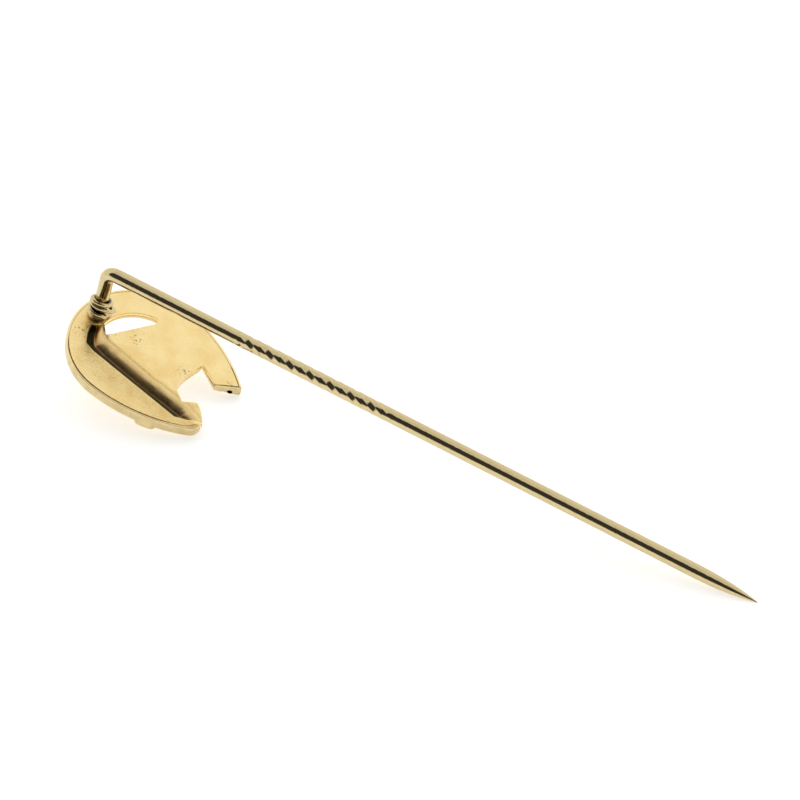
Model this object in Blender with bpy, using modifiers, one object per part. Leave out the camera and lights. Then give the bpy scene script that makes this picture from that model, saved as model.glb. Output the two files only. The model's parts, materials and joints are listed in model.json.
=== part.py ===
"""A gold stick pin (tie pin): a hollow horseshoe with a horse's head inside it, on a bent wire pin.

The head is drawn in its own frame: the origin is the middle of the toe's circle on the back face,
+X runs to the heels, +Y across the shoe and +Z out of the back, towards the stem. Every part hangs
on one empty, which lays the finished pin face down on its heels and its tip, with +X along the
stem and the middle of its footprint at the world's origin.
"""

import math

import bmesh
import bpy
import numpy as np
from mathutils import Matrix, Vector

MM = 0.001  # all the sizes below are in millimetres

# The horseshoe: a round toe that runs into two flatter branches
TOE_RADIUS = 6.15
BRANCH_RADIUS = 15.0
HEEL_X = 8.95
INNER_RADIUS = 3.6
HEAD_HEIGHT = 1.16
FRONT_ROUNDING = 0.28
FRONT_THICKNESS = 0.25
WALL = 0.2
SEAM = 0.04  # the gap between soldered pieces
PLATE_THICKNESS = 0.3
VENT_RADIUS = 0.22
HEEL_1_INSIDE, HEEL_1_OUTSIDE = (7.14, 1.74), (8.93, 3.2)  # the ends of heel 1's end face
CLIP_X, CLIP_LENGTH, CLIP_HEIGHT, CLIP_PROUD, CLIP_SUNK = 5.2, 1.8, 0.5, 0.3, 0.1
CUT_PAST = 0.3  # how far a cutter passes the face that it cuts away

# The horse's head, and the groove between its nose and the shoe's branch
HORSE_HEIGHT = 1.3
GROOVE_RADIUS = 4.4
GROOVE_DEPTH = 0.6
WEB_THICKNESS = 0.15

# The wire: a post out of the back, a bend, and a stem that leans away from the head to its point
WIRE_RADIUS = 0.6
WIRE_SIDES = 16
POST = (-4.7, 0.32)
POST_HEIGHT = 5.6  # from the back face to the stem's axis
BEND_RADIUS = 1.0
STEM_LENGTH = 63.1
STEM_RISE = math.radians(7.0)
STEM_YAW = math.radians(7.4)
TWIST_START, TWIST_LENGTH, TWIST_RINGS = 12.5, 15.3, 54
TWIST_PITCH = 7.8  # one whole turn of the square wire
TWIST_FLAT, TWIST_CORNER = 0.9, 1.03  # its flats and corners, as shares of the wire's radius
TWIST_FADE = 1.9  # where round wire turns into square
POINT_LENGTH = 6.5
POINT_BLUNTNESS = 2.4
POINT_RADIUS = 0.03

# The finer wire wrapped round the post's foot, over a ring of solder
COIL_WIRE_RADIUS = 0.2
COIL_TURNS = 2.36
COIL_PITCH = 0.87
COIL_TILT, COIL_TILT_ANGLE = 0.4, -84  # the turns rise towards this side
COIL_CLOSING, COIL_CLOSING_FROM = 0.3, 1.2  # the last turns lie closer together
COIL_START_ANGLE = -10  # where the lowest end lies, in degrees from +X
COIL_STEP_ANGLE = 20
SPRUNG_AT, SPRUNG_REACH = 333, 0.4  # where a turn stands out from the post, in degrees from the start
SPRUNG_WIDTH = 32
SOLDER_RADIUS = 1.15
SOLDER_HEIGHT = 0.16

GOLD = (0.83, 0.62, 0.30)
PALE_GOLD = (0.80, 0.68, 0.42)
SOLDER_GOLD = (0.76, 0.60, 0.33)


def clear_scene():
    for item in list(bpy.data.objects):
        bpy.data.objects.remove(item, do_unlink=True)


def new_collection(name):
    made = bpy.data.collections.new(name)
    bpy.context.scene.collection.children.link(made)
    return made


def gold(name, colour, roughness):
    material = bpy.data.materials.new(name)
    material.use_nodes = True
    shader = material.node_tree.nodes["Principled BSDF"]
    shader.inputs["Base Color"].default_value = (*colour, 1)
    shader.inputs["Metallic"].default_value = 1
    shader.inputs["Roughness"].default_value = roughness
    return material


# Outlines: lists of (x, y) in mm, counter-clockwise as seen from the back


def arc(radius, start, end, steps, centre_y=0.0):
    """Points round a circle about (0, centre_y), between two angles in degrees."""
    angles = [math.radians(start + (end - start) * i / steps) for i in range(steps + 1)]
    return [(radius * math.cos(a), centre_y + radius * math.sin(a)) for a in angles]


def rounded(corners, steps=4):
    """A polygon through (x, y, reach) corners, each turned by a curve that starts reach before it."""
    outline = []
    for i, (x, y, reach) in enumerate(corners):
        corner = Vector((x, y))
        to_last = Vector(corners[i - 1][:2]) - corner
        to_next = Vector(corners[(i + 1) % len(corners)][:2]) - corner
        start = corner + to_last.normalized() * reach
        end = corner + to_next.normalized() * reach
        for t in np.linspace(0, 1, steps + 1 if reach else 1):
            outline.append(tuple(start * (1 - t) ** 2 + corner * 2 * t * (1 - t) + end * t**2))
    return outline


def inset(outline, distance):
    """The outline moved inwards by distance."""
    moved = []
    for i, point in enumerate(outline):
        here = Vector(point)
        before = (here - Vector(outline[i - 1])).normalized()
        after = (Vector(outline[(i + 1) % len(outline)]) - here).normalized()
        inward = Vector((-before.y - after.y, before.x + after.x)).normalized()
        lean = max(0.5, inward.dot(Vector((-before.y, before.x))))
        moved.append(tuple(here + inward * distance / lean))
    return moved


def outer_edge(margin=0.0, heel_1_x=HEEL_X, heel_2_x=HEEL_X):
    """The outside of the shoe, less a margin, from heel 1 (+Y) round the toe to heel 2 (-Y)."""
    drop = BRANCH_RADIUS - TOE_RADIUS
    branch = BRANCH_RADIUS - margin
    heel_1 = math.degrees(math.asin(heel_1_x / branch))
    heel_2 = math.degrees(math.asin(heel_2_x / branch))
    upper = arc(branch, 90 - heel_1, 90, 9, -drop)
    toe = arc(TOE_RADIUS - margin, 90, 270, 28)
    lower = arc(branch, 270, 270 + heel_2, 9, drop)
    return upper + toe[1:-1] + lower


def groove_shoe_side():
    """The groove's edge along the shoe, from beside the post's foot to heel 2."""
    return arc(GROOVE_RADIUS, 196, 221, 5) + [(-2.3, -3.13), (6.9, -3.36), (7.9, -2.9)]


def groove_nose_side():
    """The groove's edge along the horse's nose, from heel 2 back to the post's foot."""
    nose = [(7.0, -1.8, 0), (2.9, -1.85, 0), (-1.2, -1.6, 0), (-2.4, -1.6, 0.5), (-3.2, -1.1, 0.3)]
    return [(8.5, -2.3)] + rounded([*nose, (-3.75, -0.55, 0)])


def groove_floor_side():
    """Where the slope below the nose's edge meets the groove's floor."""
    floor = [(7.0, -2.4, 0), (2.9, -2.45, 0), (-1.2, -2.2, 0), (-2.6, -2.2, 0.5), (-3.55, -1.5, 0.3)]
    return [(8.5, -2.35)] + rounded([*floor, (-4.05, -0.95, 0)])


def chin_edge():
    """The side of the notch that the horse's muzzle, chin, throat and cut neck make."""
    muzzle = [(9.0, -2.15, 0.1), (7.8, -1.2, 0.25), (7.35, -0.85, 0.2), (6.95, -0.95, 0.15)]
    return muzzle + [(6.35, -1.62, 0.2), (5.0, -0.8, 0.3), (5.0, 2.6, 0.2)]


def crescent():
    """The hole between the horse's crest and the toe."""
    return rounded([(-0.66, 2.94, 0.12), *((x, y, 0) for x, y in arc(INNER_RADIUS, 104, 183, 12))]
                   + [(-2.86, -0.74, 0.12)])


def horseshoe_outline():
    toe_inside = arc(INNER_RADIUS, 188, 88, 16)
    heel_2_end = [(9.0, -3.05), (9.0, -2.38)]
    heel_1 = [(1.2, 3.5), (5.15, 2.62), HEEL_1_INSIDE]
    return outer_edge() + heel_2_end + groove_shoe_side()[::-1] + toe_inside + heel_1


def horse_outline():
    """The horse's head fills the shoe between the crescent, the groove and the notch."""
    crest = [(5.0, 2.5), (1.2, 3.36), (-0.3, 3.4), (-0.6, 2.9), (-3.0, -0.85)]
    chin = [corner for corner in rounded(chin_edge()) if corner[0] < 8.9 and corner[1] < 2]
    return groove_nose_side()[-2:0:-1] + chin + crest


def horse_hollow():
    """The hollow behind the horse's cheek and neck, inside its walls."""
    return [(-1.9, -1.05), (2.9, -1.5), (4.6, -0.9), (4.7, 2.2), (1.2, 3.0), (0.0, 2.9)]


def plate_outline():
    """The back plate: inside the rim outside and at the heels, and flush with the notch."""
    margin = WALL + SEAM
    rim = outer_edge(margin, HEEL_X - 0.42, HEEL_X - margin)
    heel_2_end = HEEL_X - margin
    chin = [(heel_2_end, -2.1, 0.1), *chin_edge()[1:]]
    return rim + rounded([(heel_2_end, -2.95, 0), *chin, (6.98, 1.86, 0.1), (8.4, 3.1, 0)])


# Solids


def prism(name, outline, bottom, top, group, top_outline=None):
    """A closed solid over an outline, or between two outlines of as many points."""
    shape = bmesh.new()
    low = [shape.verts.new((x * MM, y * MM, bottom * MM)) for x, y in outline]
    high = [shape.verts.new((x * MM, y * MM, top * MM)) for x, y in top_outline or outline]
    shape.faces.new(low)
    shape.faces.new(high)
    for i in range(len(low)):
        shape.faces.new((low[i - 1], low[i], high[i], high[i - 1]))
    bmesh.ops.recalc_face_normals(shape, faces=shape.faces)
    return mesh_object(name, shape, group)


def mesh_object(name, shape, group):
    mesh = bpy.data.meshes.new(name)
    shape.to_mesh(mesh)
    shape.free()
    made = bpy.data.objects.new(name, mesh)
    group.objects.link(made)
    return made


def combine(target, other, operation="DIFFERENCE"):
    """Cuts the other solid from the target, or joins it, by a Boolean that stays on the target."""
    other.hide_render = True
    other.display_type = "WIRE"
    boolean = target.modifiers.new(other.name, "BOOLEAN")
    boolean.operation = operation
    boolean.object = other


def round_front(part, front, width):
    """Bevels the edges that lie on the front face."""
    weights = part.data.attributes.new("bevel_weight_edge", "FLOAT", "EDGE")
    corners = part.data.vertices
    for edge in part.data.edges:
        on_front = all(abs(corners[v].co.z + front * MM) < 1e-6 for v in edge.vertices)
        weights.data[edge.index].value = 1.0 if on_front else 0.0
    bevel = part.modifiers.new("rounded_front", "BEVEL")
    bevel.limit_method = "WEIGHT"
    bevel.width = width * MM
    bevel.segments = 3


def back_plate(parts, cutters):
    """The flat sheet soldered over the back, pierced by the crescent and the groove."""
    plate = prism("back_plate", plate_outline(), -PLATE_THICKNESS, 0, parts)
    combine(plate, prism("crescent_cutter", crescent(), -1, 1, cutters))
    groove = groove_shoe_side() + groove_nose_side()
    combine(plate, prism("groove_cutter", groove, -1, 1, cutters))
    return plate


def horseshoe_front(parts, cutters):
    """The struck shoe: a tray that is open to the back, with a rim round the plate and clips."""
    shoe = prism("horseshoe_front", horseshoe_outline(), -HEAD_HEIGHT, 0, parts)
    round_front(shoe, HEAD_HEIGHT, FRONT_ROUNDING)
    for side in (-1, 1):
        combine(shoe, clip(side, cutters), "UNION")
    hollow = inset(horseshoe_outline(), WALL)
    hollow_bottom = FRONT_THICKNESS - HEAD_HEIGHT
    combine(shoe, prism("shoe_hollow_cutter", hollow, hollow_bottom, 1, cutters))
    pocket = inset(plate_outline(), -SEAM)
    combine(shoe, prism("plate_pocket_cutter", pocket, -PLATE_THICKNESS - SEAM, 1, cutters))
    combine(shoe, vent(cutters))
    return shoe


def clip(side, cutters):
    """The small clip on the outside of one quarter, against the front."""
    shape = bmesh.new()
    bmesh.ops.create_uvsphere(shape, u_segments=16, v_segments=8, radius=0.5 * MM)
    drop = BRANCH_RADIUS - TOE_RADIUS
    turn = math.asin(CLIP_X / BRANCH_RADIUS)
    across = BRANCH_RADIUS * math.cos(turn) - drop - CLIP_SUNK
    place = Matrix.Translation(Vector((CLIP_X, side * across, -HEAD_HEIGHT + CLIP_HEIGHT / 2)) * MM)
    size = Matrix.Diagonal((CLIP_LENGTH, 2 * (CLIP_PROUD + CLIP_SUNK), CLIP_HEIGHT, 1))
    slant = Matrix.Rotation(-side * turn, 4, "Z")
    bmesh.ops.transform(shape, verts=shape.verts, matrix=place @ slant @ size)
    return mesh_object(f"clip_{'left' if side < 0 else 'right'}", shape, cutters)


def vent(cutters):
    """The hole in heel 1's end face that let gas out of the hollow shoe."""
    shape = bmesh.new()
    radius = VENT_RADIUS * MM
    bmesh.ops.create_cone(
        shape, cap_ends=True, segments=16, radius1=radius, radius2=radius, depth=6 * WALL * MM
    )
    inside, outside = Vector(HEEL_1_INSIDE), Vector(HEEL_1_OUTSIDE)
    height = -(PLATE_THICKNESS + SEAM + HEAD_HEIGHT - FRONT_THICKNESS) / 2
    middle = inside.lerp(outside, 0.5).to_3d() + Vector((0, 0, height))
    along = Vector((outside.y - inside.y, inside.x - outside.x, 0))
    turn = along.to_track_quat("Z", "Y").to_matrix().to_4x4()
    bmesh.ops.transform(shape, verts=shape.verts, matrix=Matrix.Translation(middle * MM) @ turn)
    return mesh_object("vent_cutter", shape, cutters)


def horse_head(parts, cutters):
    """The horse's head: a second struck tray, closed by the same back plate."""
    top = -PLATE_THICKNESS - SEAM
    head = prism("horse_head", inset(horse_outline(), SEAM), -HORSE_HEIGHT, top, parts)
    round_front(head, HORSE_HEIGHT, FRONT_ROUNDING)
    hollow_bottom = FRONT_THICKNESS - HORSE_HEIGHT
    combine(head, prism("horse_hollow_cutter", horse_hollow(), hollow_bottom, 1, cutters))
    return head


def groove_web(parts, cutters):
    """The strip that joins shoe and horse: the groove's floor and the slope below the nose."""
    groove = groove_shoe_side() + groove_nose_side()
    web = prism("groove_web", inset(groove, SEAM), -GROOVE_DEPTH - WEB_THICKNESS, -SEAM, parts)
    beyond = [(x - CUT_PAST, y - CUT_PAST) for x, y in groove_shoe_side()]
    low, high = beyond + groove_floor_side(), inset(beyond + groove_nose_side(), SEAM)
    slope = prism("web_slope_cutter", low, -GROOVE_DEPTH, 0, cutters, top_outline=high)
    combine(web, slope)
    return web


def stem_axes():
    """The stem's direction, and the direction below it on the plate."""
    across = Vector((math.cos(STEM_YAW), math.sin(STEM_YAW), 0))
    return across * math.cos(STEM_RISE) + Vector((0, 0, math.sin(STEM_RISE))), across


def point_radius(distance):
    """The stem's radius, which rounds off to a sharp point at its end."""
    left = max(0.0, min(1.0, (STEM_LENGTH - distance) / POINT_LENGTH))
    return POINT_RADIUS + (WIRE_RADIUS - POINT_RADIUS) * (1 - (1 - left) ** POINT_BLUNTNESS)


def wire_stations():
    """Points along the wire's axis from the plate to the tip: place, direction, distance, radius."""
    along, across = stem_axes()
    up = Vector((0, 0, 1))
    corner = Vector((*POST, POST_HEIGHT))
    turn = math.pi / 2 - STEM_RISE
    reach = BEND_RADIUS * math.tan(turn / 2)
    stations = [(Vector((*POST, SEAM)), up, 0.0, WIRE_RADIUS)]
    for i in range(9):
        angle = turn * i / 8
        place = corner - up * reach + across * BEND_RADIUS * (1 - math.cos(angle))
        place += up * BEND_RADIUS * math.sin(angle)
        stations.append((place, across * math.sin(angle) + up * math.cos(angle), 0.0, WIRE_RADIUS))
    distances = [TWIST_START + TWIST_LENGTH * i / TWIST_RINGS for i in range(TWIST_RINGS + 1)]
    distances += [STEM_LENGTH - POINT_LENGTH * (1 - i / 10) ** 1.5 for i in range(11)]
    for distance in distances:
        stations.append((corner + along * distance, along, distance, point_radius(distance)))
    return stations


def twist_swell(distance, angle):
    """How the radius swells and shrinks round the section of the twisted square length."""
    from_end = min(distance - TWIST_START, TWIST_START + TWIST_LENGTH - distance)
    fade = max(0.0, min(1.0, from_end / TWIST_FADE))
    swell = (TWIST_CORNER - TWIST_FLAT) / 2 * math.cos(4 * (angle - 2 * math.pi * distance / TWIST_PITCH))
    return 1 + fade * ((TWIST_CORNER + TWIST_FLAT) / 2 - 1 + swell)


def pin_wire(parts):
    """One wire: post, bend, stem with its twisted grip, and point."""
    shape = bmesh.new()
    side = Vector((-math.sin(STEM_YAW), math.cos(STEM_YAW), 0))
    rings = []
    for place, direction, distance, radius in wire_stations():
        other = direction.cross(side)
        ring = []
        for i in range(WIRE_SIDES):
            angle = 2 * math.pi * i / WIRE_SIDES
            out = (side * math.cos(angle) + other * math.sin(angle)) * radius * twist_swell(distance, angle)
            ring.append(shape.verts.new((place + out) * MM))
        rings.append(ring)
    for last, ring in zip(rings, rings[1:]):
        for i in range(WIRE_SIDES):
            shape.faces.new((last[i - 1], last[i], ring[i], ring[i - 1]))
    shape.faces.new(rings[0])
    shape.faces.new(rings[-1])
    bmesh.ops.recalc_face_normals(shape, faces=shape.faces)
    return mesh_object("pin_wire", shape, parts)


def coil_points():
    """The coil's axis: a left-handed helix one turn of which springs out to one side."""
    radius = WIRE_RADIUS + COIL_WIRE_RADIUS + SEAM
    lowest = SOLDER_HEIGHT + COIL_WIRE_RADIUS + SEAM
    points = []
    for i in range(round(COIL_TURNS * 360 / COIL_STEP_ANGLE) + 1):
        turned = i * COIL_STEP_ANGLE
        out = radius + SPRUNG_REACH * math.exp(-(((turned - SPRUNG_AT) / SPRUNG_WIDTH) ** 2))
        angle = math.radians(COIL_START_ANGLE - turned)
        closing = COIL_CLOSING * max(0, turned / 360 - COIL_CLOSING_FROM) ** 2
        tilt = COIL_TILT * out * math.cos(angle - math.radians(COIL_TILT_ANGLE))
        height = lowest + COIL_PITCH * turned / 360 - closing + tilt
        points.append((POST[0] + out * math.cos(angle), POST[1] + out * math.sin(angle), height))
    return points


def coil_collar(parts):
    curve = bpy.data.curves.new("coil_collar", "CURVE")
    curve.dimensions = "3D"
    curve.bevel_depth = COIL_WIRE_RADIUS * MM
    curve.bevel_resolution = 2
    curve.use_fill_caps = True
    points = coil_points()
    spline = curve.splines.new("POLY")
    spline.points.add(len(points) - 1)
    for point, (x, y, z) in zip(spline.points, points):
        point.co = (x * MM, y * MM, z * MM, 1)
    made = bpy.data.objects.new("coil_collar", curve)
    parts.objects.link(made)
    return made


def solder_ring(parts):
    """The low hollow fillet of solder round the post's foot: a turned profile."""
    inner = WIRE_RADIUS + SEAM
    width, height = SOLDER_RADIUS - inner, SOLDER_HEIGHT - SEAM
    steps = [i / 4 for i in range(5)]
    profile = [(inner + width * t, 1.3 * SEAM + height * (1 - t) ** 2) for t in steps]
    profile += [(SOLDER_RADIUS, SEAM), (inner, SEAM)]
    shape = bmesh.new()
    corners = [shape.verts.new((x * MM, 0, z * MM)) for x, z in profile]
    edges = [shape.edges.new((corners[i - 1], corners[i])) for i in range(len(corners))]
    bmesh.ops.spin(
        shape, geom=corners + edges, angle=2 * math.pi, steps=32, axis=(0, 0, 1), cent=(0, 0, 0), use_merge=True
    )
    bmesh.ops.remove_doubles(shape, verts=shape.verts, dist=1e-6)
    bmesh.ops.recalc_face_normals(shape, faces=shape.faces)
    bmesh.ops.translate(shape, verts=shape.verts, vec=Vector((*POST, 0)) * MM)
    return mesh_object("solder_ring", shape, parts)


# The way the finished pin lies


def world_points(objects):
    graph = bpy.context.evaluated_depsgraph_get()
    points = []
    for item in objects:
        evaluated = item.evaluated_get(graph)
        points += [tuple(item.matrix_world @ vertex.co) for vertex in evaluated.to_mesh().vertices]
        evaluated.to_mesh_clear()
    return np.array(points)


def table_normal(points):
    """The normal of the plane that the pin rests on: through its tip and the lowest point of each heel."""
    tip = points[points[:, 0].argmax()]
    seen = (points - tip)[points[:, 0] < (HEEL_X + 1) * MM]
    first = seen[np.arctan2(seen[:, 2], -seen[:, 0]).argmin()]
    axis = first / np.linalg.norm(first)
    level = np.array((0, 1, 0)) - axis * axis[1]
    level /= np.linalg.norm(level)
    upward = np.cross(axis, level)
    upward *= np.sign(upward[2])
    side = np.sign((seen @ level).mean())
    other = seen[seen @ level * side > MM]
    second = other[np.arctan2(other @ upward, other @ level * side).argmin()]
    normal = np.cross(first, second)
    return normal * np.sign(normal[2]) / np.linalg.norm(normal)


def lie_down(pose, objects):
    """Lays the pin face down on the table, its stem over +X and the middle of its footprint at the origin."""
    points = world_points(objects)
    z_axis = table_normal(points)
    stem = np.array((math.cos(STEM_YAW), math.sin(STEM_YAW), math.tan(STEM_RISE)))
    x_axis = stem - z_axis * (stem @ z_axis)
    x_axis /= np.linalg.norm(x_axis)
    turn = np.array((x_axis, np.cross(z_axis, x_axis), z_axis))
    turned = points @ turn.T
    low, high = turned.min(axis=0), turned.max(axis=0)
    middle = np.array(((low[0] + high[0]) / 2, (low[1] + high[1]) / 2, low[2]))
    pose.matrix_world = Matrix.Translation(Vector(-middle)) @ Matrix(turn.tolist()).to_4x4()


def main():
    clear_scene()
    parts = new_collection("stick_pin")
    cutters = new_collection("cutters")
    polished = gold("polished_gold", GOLD, 0.18)
    satin = gold("satin_gold", GOLD, 0.35)
    pale = gold("pale_gold", PALE_GOLD, 0.22)
    solder = gold("gold_solder", SOLDER_GOLD, 0.3)
    made = [
        (back_plate(parts, cutters), satin),
        (horseshoe_front(parts, cutters), polished),
        (horse_head(parts, cutters), polished),
        (groove_web(parts, cutters), polished),
        (pin_wire(parts), pale),
        (coil_collar(parts), polished),
        (solder_ring(parts), solder),
    ]
    for part, material in made:
        part.data.materials.append(material)
    pose = bpy.data.objects.new("lying_pose", None)
    for item in [*parts.objects, *cutters.objects]:
        item.parent = pose
    parts.objects.link(pose)
    bpy.context.view_layer.update()
    lie_down(pose, [part for part, _ in made])


main()
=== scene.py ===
"""The looks of a gold stick pin that lies face down on a white table, seen from its back.

Every piece is drawn in the head's own frame, in millimetres: the origin is the middle of the toe's
circle on the back face, +X runs to the heels, +Y across the shoe and +Z out of the back. Named
angles are in degrees, apart from those that math.radians has turned into radians.
"""

import json
import math

import bmesh
import bpy
import numpy as np
from mathutils import Matrix, Vector
from mathutils.geometry import delaunay_2d_cdt


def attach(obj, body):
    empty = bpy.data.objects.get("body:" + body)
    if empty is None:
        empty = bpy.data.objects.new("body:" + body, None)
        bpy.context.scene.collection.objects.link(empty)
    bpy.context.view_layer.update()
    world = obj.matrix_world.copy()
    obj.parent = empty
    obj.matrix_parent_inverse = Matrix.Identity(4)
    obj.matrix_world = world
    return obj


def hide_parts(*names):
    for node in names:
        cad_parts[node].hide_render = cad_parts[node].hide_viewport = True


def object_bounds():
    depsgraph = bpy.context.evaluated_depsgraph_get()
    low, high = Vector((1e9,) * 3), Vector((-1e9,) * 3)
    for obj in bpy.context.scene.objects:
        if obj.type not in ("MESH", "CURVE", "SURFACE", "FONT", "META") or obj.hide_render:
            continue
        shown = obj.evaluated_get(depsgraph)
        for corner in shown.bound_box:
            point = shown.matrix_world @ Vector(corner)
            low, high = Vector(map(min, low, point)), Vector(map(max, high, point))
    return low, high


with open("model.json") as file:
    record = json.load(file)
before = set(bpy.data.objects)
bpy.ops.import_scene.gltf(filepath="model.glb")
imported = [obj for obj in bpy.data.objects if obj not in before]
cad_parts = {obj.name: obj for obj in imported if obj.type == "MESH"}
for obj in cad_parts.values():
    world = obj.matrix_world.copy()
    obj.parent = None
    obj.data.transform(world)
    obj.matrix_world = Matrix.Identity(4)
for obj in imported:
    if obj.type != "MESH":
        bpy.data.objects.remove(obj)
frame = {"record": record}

CAD_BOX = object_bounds()
MM = 0.001

# The head's outline, as in the CAD
TOE_RADIUS = 6.15
BRANCH_RADIUS = 15.0
BRANCH_DROP = BRANCH_RADIUS - TOE_RADIUS
HEEL_X, HEEL_2_X = 8.95, 9.05
HEEL_2_TURN = 8.45  # where the outer edge starts to round heel 2
HEEL_1_INSIDE, HEEL_1_OUTSIDE = (7.14, 1.74), (8.93, 3.2)
INNER_RADIUS = 3.6
HEAD_HEIGHT = 1.16
MOUNT_ON_HEAD = (1.5, 0.8)  # where the record's mount lies on the back face
ORIGIN_HEIGHT, TABLE_SLOPE = 3.73, -0.294  # where the table lies in front of the head

# The back plate in its recess
PLATE_THICKNESS = 0.3
WALL, HEEL_LIP = 0.2, 0.09  # the shoe's rim round the plate, along the branches and at the heels
PLATE_PLAY = 0.03  # the plate is cut that much smaller than its recess
SEAM, SEAM_AT_HEEL_1, SEAM_SOLDERED = 0.11, 0.5, 0.1  # the open gap, and shares of it elsewhere
SEAM_OPENS_AT, SEAM_OPENS_OVER = -3.0, 1.5  # along Y
SEAM_HEEL_1_X = 7.0  # past this, the plate's +Y side is heel 1's end
RECESS_FLOOR = -PLATE_THICKNESS - 0.04
PLATE_ROUNDING = 0.05
NOSE_DROP, NOSE_DROP_REACH = 0.08, 0.5  # the plate dips where it meets the groove's slope
PITTED = ((-0.6, 0.6, 1.3), (-4.6, -2.2, 1.1), (4.4, 0.9, 1.0), (8.0, 2.6, 0.7), (-2.4, -0.2, 0.6))

# The shoe's front; distances are measured in from its outer edge
INNER_HEIGHT = 0.8
THINS_FROM, THINS_OVER = 1.0, 1.6
FULLER_PLACE, FULLER_HALF_WIDTH, FULLER_DEPTH = 1.25, 0.3, 0.14
NAIL_ANGLES, NAIL_REACH, NAIL_DEPTH = (8, 17, 26), 0.2, 0.3
SHOE_BACK_ROUNDING, SHOE_FRONT_ROUNDING = 0.07, 0.26
VENT_RADIUS, VENT_DEPTH = 0.24, 1.2
VENT_PLACE, VENT_Z = 0.6, -0.74  # a share of heel 1's end face, and below the back face
CLIP_X, CLIP_LENGTH, CLIP_HEIGHT, CLIP_PROUD, CLIP_SUNK = 5.3, 1.8, 0.9, 0.3, 0.1
CLIP_OVERLAP = 0.03
CLIP_PROFILE = ((0.02, 0.8), (0.1, 1), (0.3, 0.85), (0.6, 0.45), (1, 0))  # how far up, how proud

# The horse's head
HORSE_GAP = 0.03  # between the head and the pieces round it
HORSE_GROUND, HORSE_STRENGTH, HORSE_ROUNDING = 0.92, 1.35, 0.3
TOUCHING = 0.99  # the share of the way to the table that the relief may reach
HORSE_RELIEF = {  # height, x, y, reach along and across, and turn of each hill or hollow
    "cheek": (0.30, 2.3, 0.1, 1.8, 1.15, 12),
    "neck": (0.16, 2.2, 2.2, 2.4, 1.0, -8),
    "nose": (0.20, 2.8, -1.35, 3.6, 0.42, 0),
    "brow": (0.16, -1.3, -0.5, 0.9, 0.7, 30),
    "muzzle": (0.20, 7.3, -1.55, 0.9, 0.5, -15),
    "eye": (0.10, -0.7, -0.75, 0.24, 0.16, 15),
    "eye socket": (-0.07, -0.7, -0.75, 0.5, 0.34, 15),
    "nostril": (-0.16, 7.75, -1.72, 0.2, 0.12, 30),
    "mouth": (-0.10, 7.5, -1.22, 0.7, 0.06, -30),
}
MANE_GROUND, MANE_STRANDS, MANE_REACH, MANE_END_X = 0.06, 0.12, 0.75, 1.5

# The groove between shoe and nose, and the web at its bottom
GROOVE_RADIUS, GROOVE_DEPTH = 4.4, 0.6
WEB_STATIONS = 160
WEB_NOSE_START, WEB_SHOE_START = (-3.95, 0.15), (-4.45, -0.45)  # both lie under the plate
CREASE_START, CREASE_SHIFT, CREASE_SHIFT_OVER = 0.46, 0.1, 0.2  # shares of the web's width and length
CREASE_WIDTH, CREASE_STEP = 0.03, 0.03  # a share of the web's width, and a height
SLOPE_HOLLOW = 0.51  # 0 is a straight slope, 1 a parabola
WEB_END, WEB_RISE = 1.02, 0.12  # where the groove runs out at the muzzle, as shares of its length
WEB_OVERLAP = 0.03
WEB_THICKNESS = 0.09

# The wire; its distances run along the stem from the bend's corner
WIRE_RADIUS = 0.62
POST = (-4.7, 0.32)
POST_HEIGHT = 5.6
BEND_RADIUS = 1.0
STEM_LENGTH = 63.1
STEM_RISE = math.radians(7.0)
STEM_YAW = math.radians(7.4)
TWIST_START, TWIST_LENGTH, TWIST_FADE = 12.7, 15.6, 0.9
TWIST_PITCH = 8.0
TWIST_PHASE = math.radians(33)
TWIST_FLAT, TWIST_ROUND, TWIST_BURR = 0.948, 0.992, 0.02  # shares of the wire's radius
FLAT_BOW, BURR_WIDTH = 0.8, math.radians(4)  # 1 is a true flat, less is a bowed one
NICK_AT, NICK_DEPTH, NICK_LENGTH = 6.95, 0.08, 0.5
NICK_ANGLE, NICK_WIDTH = math.radians(208), 0.35  # radians
NICK_START, NICK_END = 5, 9  # the stretch with fine steps
POINT_LENGTH, POINT_BLUNTNESS, POINT_RADIUS = 6.5, 2.4, 0.03

# The coil and the solder at the post's foot
COIL_WIRE_RADIUS, COIL_TURNS, COIL_PITCH, COIL_START_ANGLE = 0.2, 2.36, 0.87, -10
COIL_CLOSING, COIL_CLOSING_FROM = 0.3, 1.2  # the last turns lie closer together
COIL_TILT, COIL_TILT_ANGLE = 0.4, -84  # the turns rise towards this side
COIL_STEP = 10  # the turn between two rings of its mesh
SPRUNG_AT, SPRUNG_REACH, SPRUNG_WIDTH = 333, 0.4, 30  # where a turn stands out from the post
SOLDER_RADIUS, SOLDER_HEIGHT = 1.0, 0.16
UNEVEN = (0.06, 0.03)  # shares by which the solder's edge waves
SUNK, OVERLAP = 0.05, 0.1  # how far the post and solder reach into the plate, and solder into the post

# Fine meshes
GRID = 0.12  # the spacing of a surface's points
EDGE_RINGS = (0.02, 0.05, 0.09, 0.14, 0.2)  # distances of the rings of points along its edges

# The studio
CAMERA_AZIMUTH, CAMERA_ELEVATION, CAMERA_ROLL = 33.54, 42.54, -3.74
CAMERA_DISTANCE = 0.6  # metres
CAMERA_LENS = 325.25
AIM_RIGHT, AIM_UP = -0.517, 2.668  # from the middle of the object's box, across the picture
TABLE_SIZE = 2.5  # metres to each side
TABLE_COLOUR, TABLE_GLOW = (0.9, 0.9, 0.895, 1), 0.6
TENT_COLOUR, TENT_TOP_STRENGTH = (1.0, 0.99, 0.975, 1), 0.85
DARK_AZIMUTHS, DARK_ELEVATION, DARK_REACH = (-20, 8, 40, 75), 40, 32  # dark circles side by side
DARK_SOFTNESS, DARK_STRENGTH = 3, 0.05


# Where the head lies


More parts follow.
